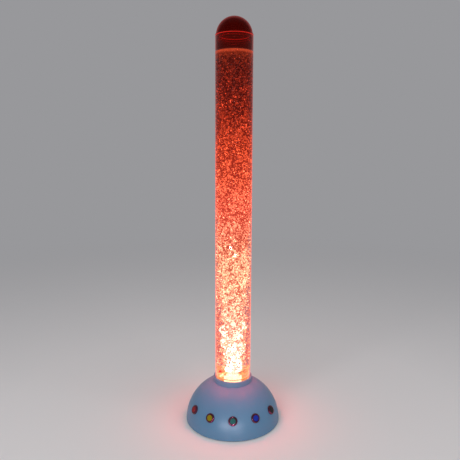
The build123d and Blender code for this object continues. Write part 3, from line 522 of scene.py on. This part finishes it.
plug_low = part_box("tube_plug")[0].z
dome_rise = 0.049
# Tints of the clear parts. The pink one is painted light of the lamp; the dark red one is painted red
# light and painted shade.
clear, pink_glow_tint, red_glow_and_shade_tint = (1.0, 0.92, 0.90, 1.0), (1.0, 0.72, 0.70, 1.0), (0.32, 0.05, 0.035, 1.0)
at_surface = water_high / ramp_top
tube_glow = (
    (0.0, tint(255, 110, 76)), (0.25, tint(255, 120, 96)), (0.45, tint(246, 96, 76)),
    (0.6, tint(214, 62, 44)), (0.72, tint(130, 30, 18)), (at_surface, tint(110, 22, 12)),
    (1.0, tint(120, 20, 11)),
)
# The tube: its pink low down and its dark red above the water are painted light, the dark red painted
# shade as well, and its glow is painted light
clear_tube = clear_plastic(
    "clear_tube", (
        (0.1255, clear), (0.1275, pink_glow_tint), (0.26, pink_glow_tint), (0.5, clear),
        (at_surface - 0.001, clear), (at_surface, red_glow_and_shade_tint),
    ), tube_glow, 0.8, bend=1.36,
)
clear_tube.clear_to_lamps(wetted_bore(clear_tube))
finishes = {
    satin_shell(): ["base_shell", "tube_collar"],
    clear_tube: ["tube"],
    # The plug's yellow tint and glow are painted light of the lamp under it
    clear_plastic(
        "clear_plug", ((0.0, (1.0, 0.86, 0.64, 1.0)), (1.0, (1.0, 0.93, 0.78, 1.0))),
        ((0.0, tint(255, 146, 70)), (0.6, tint(255, 170, 92)), (1.0, tint(255, 200, 140))),
        0.42, 0.8, plug_low, water_low, edge_glow_share=0.0,
    ).clear_to_lamps(): ["tube_plug", "gallery_screw"],
    # The dome's dark red tint is painted red light and painted shade, and its glow is painted light
    clear_plastic(
        "clear_dome", ((0.0, red_glow_and_shade_tint), (1.0, red_glow_and_shade_tint)),
        ((0.0, tint(150, 22, 12)), (1.0, tint(150, 22, 12))),
        0.22, 0.05, tube_high, tube_high + dome_rise, bend=1.14, edge=0.48,
    ).clear_to_lamps(): ["top_dome"],
    # The spigot's red glow is painted light
    clear_plastic(
        "clear_spigot", ((0.0, clear), (1.0, clear)),
        ((0.0, tint(190, 30, 17)), (1.0, tint(190, 30, 17))), 0.2,
    ).clear_to_lamps(): ["dome_spigot"],
    lit_seal(): ["dome_seal"],
    lit_water(): ["water_column"],
    moulded("clear_silicone", tint(214, 110, 60), 0.35, coat=0.2): ["plug_seals", "air_hoses"],
    # The drain plug's red glow is painted light of the lamp under it
    moulded("red_plastic", tint(206, 6, 18), 0.4).set(
        Emission_Color=tint(200, 4, 34), Emission_Strength=0.5, Specular_IOR_Level=0.05,
    ): ["drain_plug"],
    moulded("white_plastic", tint(226, 226, 222), 0.42): [
        "bubble_nozzle", "check_valve", "board_headers",
    ],
    moulded("black_rubber", tint(38, 38, 40), 0.75, pits=1400, depth=0.00006): [
        "feet", "tube_gasket", "pump_mounts", "pump_diaphragm",
    ],
    moulded("lead_jacket", tint(46, 46, 50), 0.55, pits=2000): ["board_leads", "button_leads"],
    moulded("plate_paint", tint(66, 70, 76), 0.5, pits=700, depth=0.00008): ["base_plate"],
    moulded("black_plastic", tint(34, 34, 36), 0.42): [
        "power_jack", "collar_nut", "button_switches", "board_chips", "pump_arm",
    ],
    moulded("pump_grey", tint(150, 154, 160), 0.45): ["pump_case", "pump_lid", "pump_head"],
    metal("capacitor_can", tint(120, 128, 150), 0.3): ["board_capacitors"],
    metal("bright_steel", tint(200, 200, 204), 0.24): [
        "base_plate_screws", "m3_screws", "button_nuts", "power_jack_nut", "pump_arm_pin", *(
            f"{name}_button_spring" for name in ("red", "yellow", "green", "blue", "black")
        ),
    ],
    metal("brass", tint(214, 176, 96), 0.26): [
        "power_jack_pin", "air_inlet", "board_standoffs", "lamp_posts",
    ],
    metal("sink_aluminium", tint(190, 192, 196), 0.34, (1.0, 0.03, 1.0)): ["heat_sink"],
    metal("magnet_metal", tint(168, 168, 174), 0.2): ["pump_magnet"],
    circuit("board_white", tint(226, 228, 226), tint(204, 208, 204)): ["led_board"],
    circuit("board_green", tint(22, 92, 52), tint(48, 128, 76)): ["control_board"],
    banded("core_iron", tint(120, 120, 126), tint(60, 60, 64), 0.0005, "Z", 0.45): ["pump_core"],
    banded("coil_copper", tint(196, 116, 66), tint(110, 56, 30), 0.0004, "Y", 0.3): ["pump_coil"],
    lit_lens(): ["led_lenses", "led_emitters"],
    painted_reflection_chrome(): ["button_bezels"],
    cap_plastic("cap_red", tint(128, 12, 22)): ["red_button_cap"],
    cap_plastic("cap_yellow", tint(122, 110, 5)): ["yellow_button_cap"],
    cap_plastic("cap_green", tint(5, 82, 78)): ["green_button_cap"],
    cap_plastic("cap_blue", tint(4, 38, 150)): ["blue_button_cap"],
    cap_plastic("cap_black", tint(12, 12, 13)): ["black_button_cap"],
}
for finish, names in finishes.items():
    for name in names:
        for slot in nodes[name].material_slots:
            slot.material = finish.material


def keep(mesh, name, finish):
    """Turns a bmesh into a finished piece on the base."""
    for face in mesh.faces:
        face.smooth = True
    data = bpy.data.meshes.new(name)
    mesh.to_mesh(data)
    mesh.free()
    piece = bpy.data.objects.new(name, data)
    scene.collection.objects.link(piece)
    piece.data.materials.append(finish.material)
    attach(piece, "base")
    return piece


def between(share, *steps):
    """A measure that goes straight from step to step, by a share of the water's height."""
    for (low, first), (high, last) in zip(steps, steps[1:]):
        if share <= high:
            return first + (last - first) * max(share - low, 0) / (high - low)
    return steps[-1][1]


# Lamp's light: a ragged column, narrow over the plug and nearly as wide as the tube above
shaft_low, shaft_high = water_low - 0.046, water_high - 0.004
shaft_least, shaft_most, shaft_in_plug = 0.005, 0.0405, 0.016
shaft_reach = (
    (0.010, 0.0175), (0.0135, 0.013), (0.04, 0.0155), (0.08, 0.020), (0.14, 0.0195), (0.2, 0.0185),
    (0.3, 0.024), (0.42, 0.030), (0.6, 0.0365), (1, 0.0385),
)
shaft_rags = (
    (0, 0.25), (0.04, 0.6), (0.14, 0.75), (0.26, 0.6), (0.42, 0.25), (0.6, 0.06), (1, 0.04),
)
rag_turns_around, rag_turns_up = 1.5, 54
shaft_sides, shaft_rings = 88, 340


def make_shaft():
    mesh = bmesh.new()
    bmesh.ops.create_cone(
        mesh, cap_ends=True, segments=shaft_sides, radius1=1.0, radius2=1.0, depth=shaft_high - shaft_low,
        matrix=Matrix.Translation((0, 0, (shaft_low + shaft_high) / 2)),
    )
    upright = [edge for edge in mesh.edges if abs(edge.verts[0].co.z - edge.verts[1].co.z) > 0.5]
    bmesh.ops.subdivide_edges(mesh, edges=upright, cuts=shaft_rings, use_grid_fill=True)
    for vert in mesh.verts:
        share = (vert.co.z - water_low) / (water_high - water_low)
        around = Vector((vert.co.x, vert.co.y, 0))
        spot = around * rag_turns_around + Vector((0, 0, vert.co.z * rag_turns_up))
        rag = noise.fractal(spot, 1.0, 2.1, 3)
        reach = between(share, *shaft_reach) * (1 + between(share, *shaft_rags) * rag)
        reach = min(max(reach, shaft_least), shaft_most)
        if share < 0:
            reach = min(reach, shaft_in_plug)
        vert.co = around * reach + Vector((0, 0, vert.co.z))
    keep(mesh, "lamp_shaft", lamp_shaft())


make_shaft()
skin = bubble_skin()
bubble_count, patch_height, bubble_clearance = 190, 0.03, 0.0006
crowd_depth = 0.005


def bubble_patch(sizes, inner, close=0.0):
    """A ring of bubbles round the tube's axis, as one small mesh to repeat.

    A share of them crowds close to the lamp's light, and is bright.
    """
    mesh = bmesh.new()
    spark_layer = mesh.verts.layers.float.new("spark")
    for number in range(bubble_count):
        size = dice.triangular(*sizes)
        outer = water_reach - bubble_clearance - size
        reach = math.sqrt(dice.uniform(inner**2, outer**2))
        spark = dice.random() ** 1.4
        if number < bubble_count * close:
            reach = inner + min(dice.expovariate(1 / crowd_depth), outer - inner)
            spark = 0.5 + 0.5 * spark
        bubble = bmesh.ops.create_icosphere(
            mesh, subdivisions=1, radius=size,
            matrix=Matrix.Rotation(dice.uniform(0, math.tau), 4, "Z")
            @ Matrix.Translation((reach, 0, dice.uniform(0, patch_height)))
            @ Matrix.Rotation(dice.uniform(0, math.tau), 4, "X")
            @ Matrix.Diagonal((1, 1, dice.uniform(0.72, 1.0), 1)),
        )
        for vert in bubble["verts"]:
            vert[spark_layer] = spark
    data = bpy.data.meshes.new("bubble_patch")
    mesh.to_mesh(data)
    mesh.free()
    return data


def bubble_stretch(name, low, high, step, patches):
    """Bubbles from one height to another, patch over patch, each turned at random."""
    mesh = bmesh.new()
    height = low
    while height < high:
        first = len(mesh.verts)
        mesh.from_mesh(dice.choice(patches))
        mesh.verts.ensure_lookup_table()
        bmesh.ops.transform(
            mesh, verts=mesh.verts[first:],
            matrix=Matrix.Translation((0, 0, height))
            @ Matrix.Rotation(dice.uniform(0, math.tau), 4, "Z"),
        )
        height += step
    return keep(mesh, name, skin)


low_sizes, high_sizes = (0.0006, 0.0024, 0.0010), (0.0006, 0.0022, 0.0010)
foot_patches = [bubble_patch(low_sizes, 0.017, 0.5) for _ in range(3)]
low_patches = [bubble_patch(low_sizes, 0.023, 0.2) for _ in range(3)]
high_patches = [bubble_patch(high_sizes, 0.037) for _ in range(4)]
mid_start, high_start, top_start = water_low + 0.19, water_low + 0.37, water_low + 0.6
bubble_stretch("bubbles_low", water_low + 0.003, mid_start, 0.012, foot_patches)
bubble_stretch("bubbles_mid", mid_start, high_start, 0.011, low_patches)
bubble_stretch("bubbles_high", high_start, top_start, 0.010, high_patches)
bubble_stretch("bubbles_top", top_start, water_high - 0.032, 0.010, high_patches)


# Button springs and the pump's rubber cup, as pieces of their own on the base, smooth but for their sharp
# edges
sharp_angle = 0.6
merge_reach = 1e-6


def flatten(name, push):
    """A copy of a soft piece on the base, smooth but for its sharp edges, in place of the piece. Its line
    of push is not used.
    """
    mesh = bmesh.new()
    mesh.from_mesh(nodes[name].data)
    bmesh.ops.remove_doubles(mesh, verts=mesh.verts, dist=merge_reach)
    push = Vector(push).normalized()
    for edge in mesh.edges:
        edge.smooth = edge.calc_face_angle(0.0) < sharp_angle
    finish = next(finish for finish, names in finishes.items() if name in names)
    piece = keep(mesh, f"{name}_soft", finish)
    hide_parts(name)
    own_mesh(piece)


presses = {joint["name"]: joint["axis"] for joint in frame["joints"]}
for name in ("red", "yellow", "green", "blue", "black"):
    joint = f"{name}_button_press"
    flatten(f"{name}_button_spring", presses[joint])
flatten("pump_diaphragm", (1, 0, 0))

# Floor, which turns into the backdrop's own grey some way behind the object
floor_reach = 30.0
sweep_start, sweep_end = 0.7, 3.2
floor_mesh = bmesh.new()
bmesh.ops.create_grid(floor_mesh, x_segments=1, y_segments=1, size=floor_reach)
floor_data = bpy.data.meshes.new("floor")
floor_mesh.to_mesh(floor_data)
floor_mesh.free()
floor = bpy.data.objects.new("floor", floor_data)
scene.collection.objects.link(floor)
backdrop = tint(152, 152, 155)
ground = Finish("pale_floor").set(Base_Color=tint(222, 220, 220), Roughness=0.8)
away = ground.node("VectorMath", {"operation": "LENGTH"}, {0: ground.place}, "Value")
far = ground.node("Emission", inputs={"Color": backdrop})
sweep = ground.node("MixShader", inputs={
    0: ground.level(away, sweep_start, sweep_end), 1: Wire(ground, ground.shader.outputs[0]), 2: far,
})
ground.tree.links.new(sweep.socket, ground.tree.nodes["Material Output"].inputs["Surface"])
floor.data.materials.append(ground.material)

world = bpy.data.worlds.new("studio")
scene.world = world
world.use_nodes = True
world.node_tree.nodes["Background"].inputs["Color"].default_value = backdrop
world.node_tree.nodes["Background"].inputs["Strength"].default_value = 1.0


def softbox(name, place, aim, size, power, colour=(1.0, 1.0, 1.0)):
    """An area lamp pointed at a spot, which lights the object and isn't seen itself."""
    lamp = bpy.data.objects.new(name, bpy.data.lights.new(name, "AREA"))
    lamp.data.shape = "RECTANGLE"
    lamp.data.size, lamp.data.size_y = size
    lamp.data.energy = power
    lamp.data.color = colour
    lamp.matrix_world = (
        Matrix.Translation(place)
        @ (Vector(aim) - Vector(place)).to_track_quat("-Z", "Y").to_matrix().to_4x4()
    )
    lamp.visible_camera = lamp.visible_transmission = lamp.visible_glossy = False
    scene.collection.objects.link(lamp)
    return lamp


softbox("key", (-1.3, -2.7, 2.0), (0, 0, 0.2), (2.2, 2.2), 62)
softbox("fill", (2.3, -1.8, 1.8), (0, 0, 0.3), (2.2, 2.2), 26)
softbox("top", (0, 0.3, 3.4), (0, 0, 0), (2.6, 2.6), 8)


def glint(name, place):
    """A narrow lamp that shows only as a bright spot in the tube's wall and the bezels."""
    lamp = softbox(name, place, (0, 0, 0.45), (0.42, 0.018), 7.0, (0.88, 0.86, 1.0))
    lamp.visible_glossy = True
    lamp.visible_diffuse = False


glint("glint_left", (-0.39, -1.3, 0.26))
glint("glint_right", (0.20, -1.34, 0.222))

# The lamp's own pink light, where it falls on the shell round the collar
glow_reach, glow_height = 0.078, 0.175
for number in range(6):
    turn = math.radians(30 + 60 * number)
    x, y = glow_reach * math.sin(turn), -glow_reach * math.cos(turn)
    softbox(
        f"foot_glow_{number}", (x, y, glow_height), (x, y, 0.0), (0.04, 0.04), 0.06, (1.0, 0.06, 0.05),
    ).data.spread = math.radians(140)
